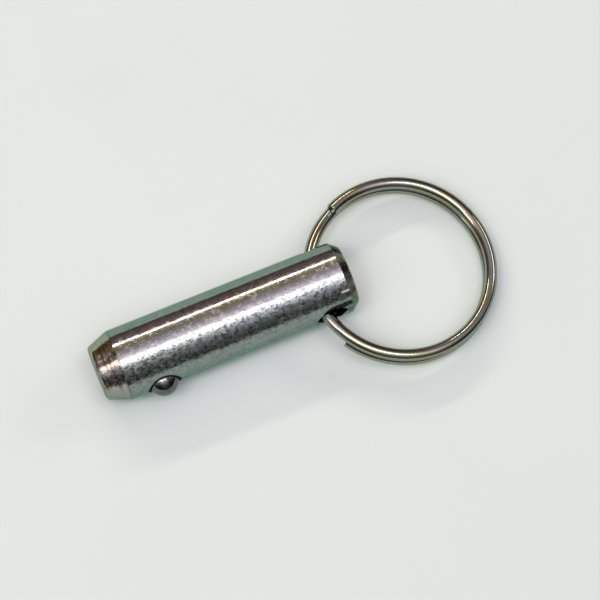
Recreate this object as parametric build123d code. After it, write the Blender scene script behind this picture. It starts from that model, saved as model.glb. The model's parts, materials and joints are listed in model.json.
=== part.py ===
import math
import os

from build123d import *

# Ball lock pin with a split ring, in millimetres.
# It lies on its side as on a table: +X runs along the shank from the tip to the ring,
# +Z is up, and the ball stands out towards -Y.
# The origin is on the shank's axis, halfway between the ball and the ring hole.

# Shank
shank_diameter = 9.5
shank_length = 34.9
tip_chamfer_length = 3.0
tip_face_diameter = 7.2
tip_edge_radius = 0.5
rear_chamfer_length = 1.1
rear_face_diameter = 7.7

# Ball, and the blind bore that it sits in
ball_diameter = 3.97
ball_from_tip = 7.55
ball_stand_out = 1.35
ball_seat_clearance = 0.02
ball_bore_clearance = 0.06
ball_bore_depth = 7.3
drill_point_angle = 118.0

# Staking that keeps the ball in: a lip over it, and the dish that the punch leaves round it
lip_above_ball_centre = 0.36
stake_dish_diameter = 5.0

# Spring behind the ball
spring_outer_diameter = 3.5
spring_wire = 0.45
spring_turns = 6.0
spring_end_clearance = 0.02

# Cross hole for the ring, flared at both mouths
ring_hole_from_rear = 3.9
ring_hole_diameter = 4.3
ring_hole_flare = 0.3
ring_hole_flare_depth = 0.4

# Split ring: two flat coils of round wire, joined by one strand that steps down between them
ring_outer_diameter = 25.4
ring_wire = 1.6
ring_coil_gap = 0.03
ring_end_edge_radius = 0.12
upper_coil_end_angle = 117.0
lower_coil_end_angle = 212.0

# How the ring lies: slid sideways in its hole, pushed back nearly to the hole's wall,
# and with its far side down on the table
ring_side_shift = 1.75
ring_crown_clearance = 0.2

# How far a cutting tool runs on past the surface that it cuts
tool_overrun = 1.0

# Worked out from the sizes above
shank_radius = shank_diameter / 2
ball_radius = ball_diameter / 2
bore_radius = ball_radius + ball_bore_clearance
wire_radius = ring_wire / 2
ring_radius = ring_outer_diameter / 2 - wire_radius
coil_pitch = ring_wire + ring_coil_gap
ring_hole_radius = ring_hole_diameter / 2
ring_centre_from_hole = ring_radius - (ring_hole_radius - wire_radius - ring_crown_clearance)
ring_hole_from_tip = shank_length - ring_hole_from_rear
origin_from_tip = (ball_from_tip + ring_hole_from_tip) / 2
tip_x = -origin_from_tip
rear_x = tip_x + shank_length
ball_x = tip_x + ball_from_tip
ring_hole_x = tip_x + ring_hole_from_tip
ball_out = shank_radius + ball_stand_out - ball_radius
bore_bottom = shank_radius - ball_bore_depth
drill_slope = 1 / math.tan(math.radians(drill_point_angle / 2))

# Turns a tool that is drawn along +Y so that it faces the ball's side
ball_side = Pos(ball_x, 0, 0) * Rot(0, 0, 180)


def turned_shank():
    """The bare shank, turned about X."""
    outline = Polyline(
        (tip_x, 0),
        (tip_x, tip_face_diameter / 2),
        (tip_x + tip_chamfer_length, shank_radius),
        (rear_x - rear_chamfer_length, shank_radius),
        (rear_x, rear_face_diameter / 2),
        (rear_x, 0),
        close=True,
    )
    section = make_face(outline)
    tip_corner = section.vertices().group_by(Axis.X)[0].sort_by(Axis.Y)[-1]
    return revolve(fillet(tip_corner, tip_edge_radius), Axis.X)


def ball_bore():
    """What is cut for the ball: the drilled bore, the seat under the lip, and the punched dish."""
    seat_radius = ball_radius + ball_seat_clearance
    lip_out = ball_out + lip_above_ball_centre
    lip_angle = math.asin(lip_above_ball_centre / seat_radius)
    lip_radius = seat_radius * math.cos(lip_angle)
    seat_middle = (
        seat_radius * math.cos(lip_angle / 2),
        ball_out + seat_radius * math.sin(lip_angle / 2),
    )
    dish_slope = (stake_dish_diameter / 2 - lip_radius) / (shank_radius - lip_out)
    top = shank_radius + tool_overrun
    drilled = Polyline(
        (0, top),
        (0, bore_bottom - bore_radius * drill_slope),
        (bore_radius, bore_bottom),
        (bore_radius, ball_out),
        (seat_radius, ball_out),
    )
    seat = ThreePointArc((seat_radius, ball_out), seat_middle, (lip_radius, lip_out))
    dish = Polyline((lip_radius, lip_out), (lip_radius + dish_slope * (top - lip_out), top), (0, top))
    section = make_face(drilled + seat + dish)
    return ball_side * revolve(section, Axis.Y)


def ring_hole():
    """The through hole for the ring, with a flare where it leaves the shank on each side."""
    flare_slope = ring_hole_flare / ring_hole_flare_depth
    flare_height = ring_hole_flare_depth + tool_overrun
    flare = Cone(ring_hole_radius, ring_hole_radius + flare_slope * flare_height, flare_height)
    flare_centre = shank_radius + tool_overrun - flare_height / 2
    tool = Cylinder(ring_hole_radius, 2 * (shank_radius + tool_overrun))
    for turn in (0, 180):
        tool += Rot(turn, 0, 0) * Pos(0, 0, flare_centre) * flare
    return Pos(ring_hole_x, 0, 0) * Rot(90, 0, 0) * tool


def pin_body():
    return turned_shank() - ball_bore() - ring_hole()


def detent_ball():
    return Pos(ball_x, -ball_out, 0) * Sphere(ball_radius)


def detent_spring():
    """A ground-end coil spring, from the drilled cone at the bore's bottom to the ball's back."""
    outer_radius = spring_outer_diameter / 2
    mean_radius = outer_radius - spring_wire / 2
    inner_radius = outer_radius - spring_wire
    foot = bore_bottom - (bore_radius - outer_radius) * drill_slope + spring_end_clearance
    head = ball_out - math.sqrt(ball_radius**2 - inner_radius**2) - spring_end_clearance
    length = head - foot
    path = Helix(length / spring_turns, length, mean_radius)
    wire = Plane(path @ 0, z_dir=path % 0) * Circle(spring_wire / 2)
    wound = sweep(wire, path, is_frenet=True)
    ground = Pos(0, 0, length / 2) * Cylinder(outer_radius + tool_overrun, length)
    return ball_side * Pos(0, foot, 0) * Rot(-90, 0, 0) * (wound & ground)


def on_ring(radius, angle, height):
    """A point of the ring's centreline, in the ring's own frame."""
    turn = math.radians(angle)
    return (radius * math.cos(turn), radius * math.sin(turn), height)


def bent_wire(arc):
    """Round wire along an arc."""
    section = Plane(arc @ 0, z_dir=arc % 0) * Circle(wire_radius)
    bend = Axis(arc.arc_center, arc.normal())
    return revolve(section, bend, math.degrees(arc.length / arc.radius))


def coil(height, free_end_angle):
    """One flat coil of the ring at a height, with the edge of its cut end eased."""
    full_turn = 360
    sweep_angle = full_turn + upper_coil_end_angle - lower_coil_end_angle
    arc = CenterArc((0, 0, height), ring_radius, lower_coil_end_angle, sweep_angle)
    wire = bent_wire(arc)
    free_end = on_ring(ring_radius, free_end_angle, height)
    cut_face = wire.faces().filter_by(GeomType.PLANE).sort_by_distance(free_end)[0]
    return fillet(cut_face.edges(), ring_end_edge_radius)


def step_strand():
    """The single strand from the lower coil up to the upper one: two tilted arcs that meet halfway."""
    rise = coil_pitch / 2
    middle_angle = (upper_coil_end_angle + lower_coil_end_angle) / 2
    start = on_ring(ring_radius, upper_coil_end_angle, -rise)
    middle = on_ring(math.hypot(ring_radius, rise), middle_angle, 0)
    end = on_ring(ring_radius, lower_coil_end_angle, rise)
    along_start = on_ring(1, upper_coil_end_angle + 90, 0)
    first = TangentArc(start, middle, tangent=along_start)
    second = TangentArc(middle, end, tangent=first % 1)
    return bent_wire(first) + bent_wire(second)


def ring_tilt():
    """How far the ring's plane drops from the hole so that its far side touches the table."""
    reach = ring_centre_from_hole + ring_radius
    below = coil_pitch / 2
    drop = shank_radius - wire_radius
    return math.degrees(math.asin(drop / math.hypot(reach, below)) - math.atan2(below, reach))


def split_ring():
    upper = coil(coil_pitch / 2, upper_coil_end_angle)
    lower = coil(-coil_pitch / 2, lower_coil_end_angle)
    ring = Pos(ring_centre_from_hole, -ring_side_shift, 0) * (upper + lower + step_strand())
    return Pos(ring_hole_x, 0, 0) * Rot(0, ring_tilt(), 0) * ring


nodes = {
    "pin_body": pin_body(),
    "detent_ball": detent_ball(),
    "detent_spring": detent_spring(),
    "split_ring": split_ring(),
}

os.makedirs("parts", exist_ok=True)
for name, shape in nodes.items():
    export_step(shape, f"parts/{name}.step")
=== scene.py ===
import json
import math

import bpy
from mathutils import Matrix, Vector

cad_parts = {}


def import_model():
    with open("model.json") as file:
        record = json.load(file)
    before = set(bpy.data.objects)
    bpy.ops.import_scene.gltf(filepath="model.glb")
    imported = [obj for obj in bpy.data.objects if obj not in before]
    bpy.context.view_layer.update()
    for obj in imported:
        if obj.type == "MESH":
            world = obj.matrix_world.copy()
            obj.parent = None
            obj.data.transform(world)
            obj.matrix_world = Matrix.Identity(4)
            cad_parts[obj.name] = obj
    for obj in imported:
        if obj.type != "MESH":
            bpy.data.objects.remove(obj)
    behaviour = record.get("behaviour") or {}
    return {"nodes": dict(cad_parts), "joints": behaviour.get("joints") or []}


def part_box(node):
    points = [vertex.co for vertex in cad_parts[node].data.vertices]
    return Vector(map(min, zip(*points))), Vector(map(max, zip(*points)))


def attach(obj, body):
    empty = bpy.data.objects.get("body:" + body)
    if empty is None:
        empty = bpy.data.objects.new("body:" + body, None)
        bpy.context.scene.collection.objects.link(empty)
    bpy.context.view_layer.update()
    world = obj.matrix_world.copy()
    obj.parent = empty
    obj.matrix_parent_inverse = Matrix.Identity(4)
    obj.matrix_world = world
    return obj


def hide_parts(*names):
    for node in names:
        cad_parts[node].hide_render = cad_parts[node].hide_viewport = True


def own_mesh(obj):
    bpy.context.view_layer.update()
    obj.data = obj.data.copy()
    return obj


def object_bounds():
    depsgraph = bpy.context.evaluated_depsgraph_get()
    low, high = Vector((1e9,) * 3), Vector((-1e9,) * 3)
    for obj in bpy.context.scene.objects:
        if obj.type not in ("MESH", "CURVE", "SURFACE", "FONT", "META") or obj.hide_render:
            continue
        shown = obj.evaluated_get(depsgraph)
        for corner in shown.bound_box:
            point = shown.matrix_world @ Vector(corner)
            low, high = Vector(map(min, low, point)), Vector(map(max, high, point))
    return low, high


# Looks of a ball lock pin with a split ring, in metres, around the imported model.
# +X runs along the shank from the tip to the ring, +Z is up, and the ball stands out towards -Y.
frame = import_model()
cad_low, cad_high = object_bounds()
nodes = frame["nodes"]
joints = {joint["name"]: joint for joint in frame["joints"]}
mm = 0.001
degree = math.radians(1)

# Places and sizes read from the frame
shank_low, shank_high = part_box("pin_body")
ball_low, ball_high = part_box("detent_ball")
shank_radius = (shank_high.z - shank_low.z) / 2
ball_centre = (ball_low + ball_high) / 2
ball_radius = (ball_high.x - ball_low.x) / 2
ring_hole_x = joints["ring_swing"]["pos_m"][0]

# Where the shank's two chamfers end
tip_edge = shank_low.x + 3.0 * mm
rear_edge = shank_high.x - 1.1 * mm


# Node helpers
class Nodes:
    """Shader nodes of one tree, built by name and value."""

    def __init__(self, tree):
        self.tree = tree

    def node(self, kind, **settings):
        made = self.tree.nodes.new(kind)
        for key, value in settings.items():
            setattr(made, key, value)
        return made

    def put(self, socket, value):
        """A number, a colour or another node's output goes into a socket."""
        if isinstance(value, bpy.types.NodeSocket):
            self.tree.links.new(value, socket)
        else:
            socket.default_value = value

    def axes(self, coordinates):
        """X, Y and Z of the texture coordinates of that name."""
        made = self.node("ShaderNodeSeparateXYZ")
        self.put(made.inputs[0], self.node("ShaderNodeTexCoord").outputs[coordinates])
        return made.outputs

    def math(self, operation, a, b=0.0, c=0.0):
        made = self.node("ShaderNodeMath", operation=operation)
        for socket, value in zip(made.inputs, (a, b, c)):
            self.put(socket, value)
        return made.outputs[0]

    def multiply(self, a, b):
        return self.math("MULTIPLY", a, b)

    def multiply_add(self, a, b, c):
        return self.math("MULTIPLY_ADD", a, b, c)

    def length(self, a, b):
        """The length of the vector (a, b)."""
        return self.math("POWER", self.multiply_add(a, a, self.multiply(b, b)), 0.5)

    def distance(self, value, centre):
        return self.math("ABSOLUTE", self.math("SUBTRACT", value, centre))

    def angle_from_top(self, y, z):
        """The angle round X from +Z, + towards -Y."""
        return self.math("ARCTAN2", self.multiply(y, -1.0), z)

    def ramp(self, value, low, high, from_value=0.0, to_value=1.0):
        """Eases from from_value to to_value while value goes from low to high."""
        made = self.node("ShaderNodeMapRange", interpolation_type="SMOOTHSTEP")
        for socket, number in zip(made.inputs, (value, low, high, from_value, to_value)):
            self.put(socket, number)
        return made.outputs[0]

    def band(self, value, centre, full, end):
        """One out to full on each side of centre, easing to nought at end."""
        return self.ramp(self.distance(value, centre), full, end, 1, 0)


class Material(Nodes):
    """A node material whose patterns are fixed to the object. Pattern sizes are in millimetres."""

    def __init__(self, name):
        self.material = bpy.data.materials.new(name)
        self.material.use_nodes = True
        super().__init__(self.material.node_tree)
        self.shader = self.tree.nodes["Principled BSDF"]

    def place(self, stretch):
        """The point in the object's own frame, in millimetres, with each axis divided by stretch."""
        made = self.node("ShaderNodeMapping")
        self.put(made.inputs["Vector"], self.node("ShaderNodeTexCoord").outputs["Object"])
        made.inputs["Scale"].default_value = [1 / (mm * share) for share in stretch]
        return made.outputs[0]

    def noise(self, size, detail=4.0, roughness=0.55, stretch=(1, 1, 1), seed=0.0):
        """Noise from 0 to 1, in blotches of about size. Each seed gives another one."""
        made = self.node("ShaderNodeTexNoise", noise_dimensions="4D")
        self.put(made.inputs["Vector"], self.place(stretch))
        self.put(made.inputs["W"], seed)
        self.put(made.inputs["Scale"], 1 / size)
        self.put(made.inputs["Detail"], detail)
        self.put(made.inputs["Roughness"], roughness)
        return made.outputs[0]

    def turned_marks(self):
        """Ring marks of a lathe tool round X, uneven in depth and pitch."""
        pitches = self.noise(0.22, detail=3, roughness=0.7, stretch=(1, 60, 60))
        breaks = self.noise(1.1, detail=3, stretch=(0.35, 1, 1))
        return self.multiply_add(pitches, 0.6, self.multiply(breaks, 0.45))

    def turned_circles(self, from_axis, pitch):
        """Uneven circles round X on a turned face."""
        made = self.node("ShaderNodeTexNoise", noise_dimensions="1D")
        self.put(made.inputs["W"], self.math("DIVIDE", from_axis, pitch * mm))
        self.put(made.inputs["Detail"], 3.0)
        return made.outputs[0]

    def mix(self, share, a, b):
        made = self.node("ShaderNodeMix", data_type="RGBA")
        self.put(made.inputs[0], share)
        self.put(made.inputs[6], a)
        self.put(made.inputs[7], b)
        return made.outputs[2]

    def paint(self, colour, *layers):
        """Lays each tone over the colour in turn, by its share."""
        for share, tone in layers:
            colour = self.mix(share, colour, tone)
        return colour

    def roughest(self, roughness, *others):
        """The highest of several roughnesses at each point."""
        for other in others:
            roughness = self.math("MAXIMUM", roughness, other)
        return roughness

    def bumps(self, *layers):
        """A surface with each height, from 0 to 1, raised in turn by its depth in millimetres."""
        normal = None
        for height, depth in layers:
            made = self.node("ShaderNodeBump")
            self.put(made.inputs["Strength"], 1.0)
            self.put(made.inputs["Distance"], depth * mm)
            self.put(made.inputs["Height"], height)
            if normal is not None:
                self.put(made.inputs["Normal"], normal)
            normal = made.outputs[0]
        return normal

    def metal(self, colour, roughness, normal, edge_tint=(1, 1, 1)):
        self.put(self.shader.inputs["Base Color"], colour)
        self.put(self.shader.inputs["Roughness"], roughness)
        self.put(self.shader.inputs["Normal"], normal)
        self.put(self.shader.inputs["Metallic"], 1.0)
        self.put(self.shader.inputs["Specular Tint"], rgba(*edge_tint))
        return self.material


def rgba(red, green, blue):
    return (red, green, blue, 1.0)


# Materials
def shank_material():
    """Satin rolled steel: rough specks, a faint film, a turned tip, painted shade round the ball, in the
    ring hole and on the rear chamfer, a painted reflection on the flanks, and painted highlights at the rear
    edge and in a streak.
    """
    m = Material("shank_steel")
    x, y, z = m.axes("Object")
    from_axis = m.length(y, z)
    around = m.angle_from_top(y, z)

    # The two end faces, and the side between them
    half_length = (shank_high.x - shank_low.x) / 2
    from_middle = m.distance(x, (shank_low.x + shank_high.x) / 2)
    end_face = m.ramp(from_middle, half_length - 0.04 * mm, half_length - 0.01 * mm)
    side = m.math("SUBTRACT", 1.0, end_face)

    # Rolled steel: blotches everywhere, a green painted reflection of the floor on the flanks, and pits,
    # most of all beside the ball
    film = m.noise(5.0, detail=2, stretch=(3, 1, 1))
    blotch = m.noise(1.6, stretch=(1.5, 1, 1))
    off_top = m.multiply_add(blotch, 16 * degree, m.distance(around, 8 * degree))
    # Painted reflection: the flanks, away from the top, are tinted green-grey as if they mirrored a green
    # floor
    flank_painted_reflection = m.multiply(side, m.ramp(off_top, 48 * degree, 62 * degree))
    ball_side = m.multiply(side, m.band(around, 34 * degree, full=13 * degree, end=28 * degree))
    pits = m.ramp(m.noise(0.45, roughness=0.7, stretch=(1.3, 1, 1)), 0.49, 0.58)
    pits = m.multiply(m.multiply_add(ball_side, 0.65, 0.3), pits)
    dents = m.ramp(m.noise(1.0, detail=3, seed=3.0), 0.70, 0.74, to_value=0.8)
    steel = m.mix(m.ramp(film, 0.35, 0.65), rgba(0.35, 0.365, 0.325), rgba(0.345, 0.36, 0.345))
    steel = m.paint(
        steel,
        (flank_painted_reflection, rgba(0.26, 0.32, 0.287)),
        (m.ramp(blotch, 0.45, 0.7, to_value=0.35), rgba(0.23, 0.25, 0.23)),
        (pits, rgba(0.09, 0.10, 0.095)),
        (dents, rgba(0.08, 0.10, 0.10)),
    )

    # Turned tip: pale steel, browned away from the ball, with stains, tool marks and a dark line at its edge
    tip = m.ramp(x, tip_edge + 0.05 * mm, tip_edge - 0.05 * mm)
    tip_top = m.multiply(tip, m.ramp(flank_painted_reflection, 0, 1, 1, 0.25))
    brown = m.ramp(around, -8 * degree, -26 * degree, to_value=0.85)
    stain = m.ramp(m.noise(1.3), 0.42, 0.62, to_value=0.7)
    marks = m.turned_marks()
    patchy = m.ramp(m.noise(0.9), 0.35, 0.6, 0.25, 0.8)
    tip_line = m.band(x, tip_edge, full=0, end=0.16 * mm)
    steel = m.paint(
        steel,
        (tip_top, rgba(0.56, 0.53, 0.47)),
        (m.multiply(tip_top, brown), rgba(0.50, 0.50, 0.24)),
        (m.multiply(tip_top, stain), rgba(0.33, 0.25, 0.14)),
        (m.multiply(tip_top, m.ramp(marks, 0.48, 0.60, to_value=0.8)), rgba(0.13, 0.11, 0.09)),
        (m.multiply(tip_line, patchy), rgba(0.10, 0.08, 0.085)),
    )

    # Rear chamfer: darkened brown as painted shade, with a painted golden highlight along its outer edge, in
    # patches
    # Painted shade: the rear chamfer is darkened brown to stand in for the dark surroundings it mirrors
    painted_rear_shade = m.ramp(x, rear_edge - 0.04 * mm, rear_edge + 0.04 * mm, to_value=0.8)
    # Painted highlight: a golden band at the chamfer's outer edge, broken into patches
    painted_rim_highlight = m.ramp(x, shank_high.x - 0.2 * mm, shank_high.x - 0.12 * mm)
    steel = m.paint(
        steel,
        (painted_rear_shade, rgba(0.13, 0.115, 0.09)),
        (m.multiply(painted_rim_highlight, patchy), rgba(0.55, 0.50, 0.38)),
    )

    # End faces: dull steel with circular tool marks
    circles = m.turned_circles(from_axis, 0.16)
    face = m.mix(m.ramp(circles, 0.4, 0.65), rgba(0.34, 0.335, 0.31), rgba(0.23, 0.225, 0.20))
    face = m.mix(m.ramp(blotch, 0.45, 0.65, to_value=0.5), face, rgba(0.17, 0.165, 0.15))

    # A painted glint: a bright streak on the ball's side, just before the rear chamfer, which is also made
    # rougher
    painted_glint = m.multiply(
        m.band(around, 39 * degree, full=1.2 * degree, end=2.4 * degree),
        m.band(x, shank_high.x - 1.6 * mm, full=0.4 * mm, end=0.7 * mm),
    )

    # Painted shade: near black round and behind the ball, in its recess, and darker steel deep inside the
    # ring hole
    from_ball = m.length(m.math("SUBTRACT", x, ball_centre.x), z)
    ball_painted_shade = m.ramp(from_ball, ball_radius + 0.25 * mm, ball_radius + 0.4 * mm, 1, 0)
    ball_painted_shade = m.multiply(ball_painted_shade, m.math("LESS_THAN", y, 0.0))
    inside = m.ramp(from_axis, shank_radius - 0.9 * mm, shank_radius - 0.4 * mm, 1, 0)
    hole_painted_shade = m.multiply(inside, m.band(x, ring_hole_x, full=2.6 * mm, end=2.9 * mm))
    # Over the steel go the end faces, the painted glint streak, and the painted shade round the ball and
    # inside the ring hole
    colour = m.paint(
        steel,
        (end_face, face),
        (painted_glint, rgba(0.85, 0.80, 0.75)),
        (ball_painted_shade, rgba(0.03, 0.03, 0.028)),
        (hole_painted_shade, rgba(0.22, 0.24, 0.25)),
    )

    # Fine specks are rougher than the steel between them, and fewer away from the ball
    specks = m.ramp(m.noise(0.5, roughness=0.7, stretch=(1.3, 1, 1), seed=7.0), 0.50, 0.60, to_value=0.4)
    roughness = m.roughest(
        m.ramp(m.noise(0.5, detail=5), 0.3, 0.75, 0.07, 0.13),
        m.multiply(m.ramp(around, -22 * degree, -10 * degree, 0.6, 1), specks),
        m.multiply(painted_glint, 0.7),
        m.multiply(ball_painted_shade, 0.7),
        m.multiply(end_face, 0.3),
    )

    # A rolled ripple, deepest on the ball's side, long waves, and the tool marks
    ripple = m.noise(0.45, roughness=0.65, stretch=(1.4, 1, 1), seed=11.0)
    normal = m.bumps(
        (m.multiply(ripple, m.multiply_add(ball_side, 0.75, 0.25)), 0.04),
        (m.noise(2.4, detail=2), 0.005),
        (m.multiply(marks, tip), 0.024),
        (m.multiply(circles, end_face), 0.02),
    )
    return m.metal(colour, roughness, normal, edge_tint=(0.5, 0.74, 0.62))


def ring_material():
    """Bright drawn spring wire with golden patches of film and fine dark specks."""
    m = Material("ring_steel")
    golden = m.ramp(m.noise(4.0, detail=3), 0.42, 0.6)
    specks = m.ramp(m.noise(0.3), 0.52, 0.75, to_value=0.6)
    colour = m.mix(golden, rgba(0.31, 0.33, 0.30), rgba(0.31, 0.30, 0.20))
    colour = m.mix(specks, colour, rgba(0.15, 0.14, 0.13))
    roughness = m.ramp(m.noise(0.8), 0.3, 0.75, 0.05, 0.12)
    normal = m.bumps((m.noise(0.5), 0.008))
    return m.metal(colour, roughness, normal, edge_tint=(0.55, 0.75, 0.65))


def ball_material():
    """A polished ball, browned and lightly rubbed."""
    m = Material("ball_steel")
    browned = m.ramp(m.noise(0.6), 0.4, 0.7)
    colour = m.mix(browned, rgba(0.145, 0.165, 0.155), rgba(0.14, 0.115, 0.105))
    roughness = m.ramp(m.noise(0.3), 0.3, 0.75, 0.03, 0.08)
    normal = m.bumps((m.noise(0.5, detail=3), 0.002))
    return m.metal(colour, roughness, normal, edge_tint=(0.75, 1.0, 0.92))


def spring_material():
    """Dark oiled spring wire."""
    m = Material("spring_steel")
    oiled = m.ramp(m.noise(0.8), 0.35, 0.7)
    colour = m.mix(oiled, rgba(0.30, 0.29, 0.28), rgba(0.15, 0.13, 0.11))
    roughness = m.ramp(m.noise(0.3), 0.3, 0.75, 0.25, 0.45)
    normal = m.bumps((m.noise(0.2, detail=3), 0.003))
    return m.metal(colour, roughness, normal)


finishes = {
    "pin_body": shank_material(),
    "detent_ball": ball_material(),
    "detent_spring": spring_material(),
    "split_ring": ring_material(),
}
for name, finish in finishes.items():
    for material_slot in nodes[name].material_slots:
        material_slot.material = finish


def spring_coil():
    """The spring in its own shape, as a piece of its own carried by the pin."""
    coil = bpy.data.objects.new("spring_coil", nodes["detent_spring"].data.copy())
    bpy.context.scene.collection.objects.link(coil)
    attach(coil, "pin")
    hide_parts("detent_spring")
    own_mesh(coil)


spring_coil()


def floor():
    """A plain pale floor under the part."""
    floor_size = 3.0
    bpy.ops.mesh.primitive_plane_add(size=floor_size, location=(0, 0, cad_low.z))
    plane = bpy.context.object
    plane.name = "floor"
    m = Material("pale_floor")
    grain = m.ramp(m.noise(30, detail=3), 0.3, 0.7)
    colour = m.mix(grain, rgba(0.71, 0.775, 0.725), rgba(0.72, 0.785, 0.735))
    m.put(m.shader.inputs["Base Color"], colour)
    m.put(m.shader.inputs["Roughness"], 0.9)
    m.put(m.shader.inputs["Specular IOR Level"], 0.1)
    plane.data.materials.append(m.material)


floor()


# Light: the sky's colour at each angle across the shank, in degrees from overhead, + towards the ball's side
sky_bands = [
    (-90, rgba(0.124, 0.0974, 0.0708)),
    (-80, rgba(0.168, 0.124, 0.106)),
    (-66, rgba(0.301, 0.168, 0.195)),
    (-58, rgba(0.372, 0.239, 0.221)),
    (-45, rgba(0.72, 0.60, 0.42)),
    (-40, rgba(0.51, 0.42, 0.29)),
    (-32, rgba(0.46, 0.381, 0.292)),
    (-20, rgba(0.637, 0.549, 0.637)),
    (-13, rgba(0.85, 0.708, 0.867)),
    (-7, rgba(1.37, 1.12, 1.38)),
    (1, rgba(1.95, 1.65, 1.95)),
    (20, rgba(1.9, 1.84, 2)),
    (28, rgba(1.30, 1.30, 1.47)),
    (33, rgba(1.18, 1.19, 1.34)),
    (38, rgba(0.549, 0.558, 0.637)),
    (50, rgba(0.274, 0.283, 0.301)),
    (66, rgba(0.142, 0.15, 0.146)),
    (90, rgba(0.0796, 0.106, 0.106)),
]


def world():
    """A soft studio whose colour changes across the shank, and which is darker towards its two ends."""
    studio = bpy.data.worlds.new("studio")
    bpy.context.scene.world = studio
    studio.use_nodes = True
    sky = Nodes(studio.node_tree)
    background = sky.tree.nodes["Background"]
    x, y, z = sky.axes("Generated")
    half_turn = math.pi
    share = sky.math("ADD", sky.math("DIVIDE", sky.angle_from_top(y, z), half_turn), 0.5)
    ramp = sky.node("ShaderNodeValToRGB")
    sky.put(ramp.inputs[0], share)
    elements = ramp.color_ramp.elements
    while len(elements) < len(sky_bands):
        elements.new(0.5)
    for element, (angle, colour) in zip(elements, sky_bands):
        element.position = (angle + 90) / 180
        element.color = colour
    towards_tip = sky.ramp(x, -0.65, -0.25, 0.3, 1.0)
    towards_ring = sky.ramp(x, 0.2, 0.6, 1.0, 0.22)
    sky.put(background.inputs["Color"], ramp.outputs[0])
    sky.put(background.inputs["Strength"], sky.multiply(towards_tip, towards_ring))


def soft_light(name, direction, size, brightness, colour=(1, 1, 1), shift=0.0):
    """A flat light that faces the part from a direction, moved along X by shift."""
    distance = 0.6
    length, width = size
    lamp = bpy.data.lights.new(name, "AREA")
    lamp.shape = "RECTANGLE"
    lamp.size = length
    lamp.size_y = width
    lamp.energy = 4 * length * width * brightness
    lamp.color = colour
    holder = bpy.data.objects.new(name, lamp)
    bpy.context.scene.collection.objects.link(holder)
    towards = Vector(direction).normalized()
    holder.location = towards * distance + Vector((shift, 0, 0))
    holder.rotation_mode = "QUATERNION"
    holder.rotation_quaternion = towards.to_track_quat("Z", "Y")


def beside_shank(from_overhead):
    """The direction across the shank at some degrees from overhead, + towards the ball's side."""
    angle = math.radians(from_overhead)
    return (0, -math.sin(angle), math.cos(angle))


world()
soft_light("overhead", beside_shank(10.0), (0.5, 0.15), 2.8, colour=(0.97, 1, 0.98), shift=-0.05)
soft_light("strip", beside_shank(-50.3), (0.46, 0.036), 10.5, colour=(1, 0.935, 0.83), shift=-0.03)
soft_light("over_tip", (-0.58, -0.04, 0.81), (0.13, 0.26), 2.6, colour=(1, 0.98, 0.95))
soft_light("over_ball", (-0.33, -0.12, 0.94), (0.08, 0.07), 9.0)
soft_light("far_end", (0.8, 0.15, 0.58), (0.22, 0.12), 3.0)


def camera():
    """The photo's view of the part."""
    azimuth = math.radians(-22.6)
    elevation = math.radians(73.7)
    distance = 0.391
    focal_pixels = 3021
    image_pixels = 600
    target = Vector((8.6 * mm, -0.86 * mm, 0))
    back = Vector((
        math.sin(azimuth) * math.cos(elevation),
        -math.cos(azimuth) * math.cos(elevation),
        math.sin(elevation),
    ))
    data = bpy.data.cameras.new("camera")
    data.sensor_width = 36
    data.lens = focal_pixels / image_pixels * data.sensor_width
    data.clip_start = 0.01
    holder = bpy.data.objects.new("camera", data)
    bpy.context.scene.collection.objects.link(holder)
    holder.location = target + back * distance
    holder.rotation_mode = "QUATERNION"
    holder.rotation_quaternion = (-back).to_track_quat("-Z", "Y")
    bpy.context.scene.camera = holder


camera()
bpy.context.scene.view_settings.view_transform = "Standard"
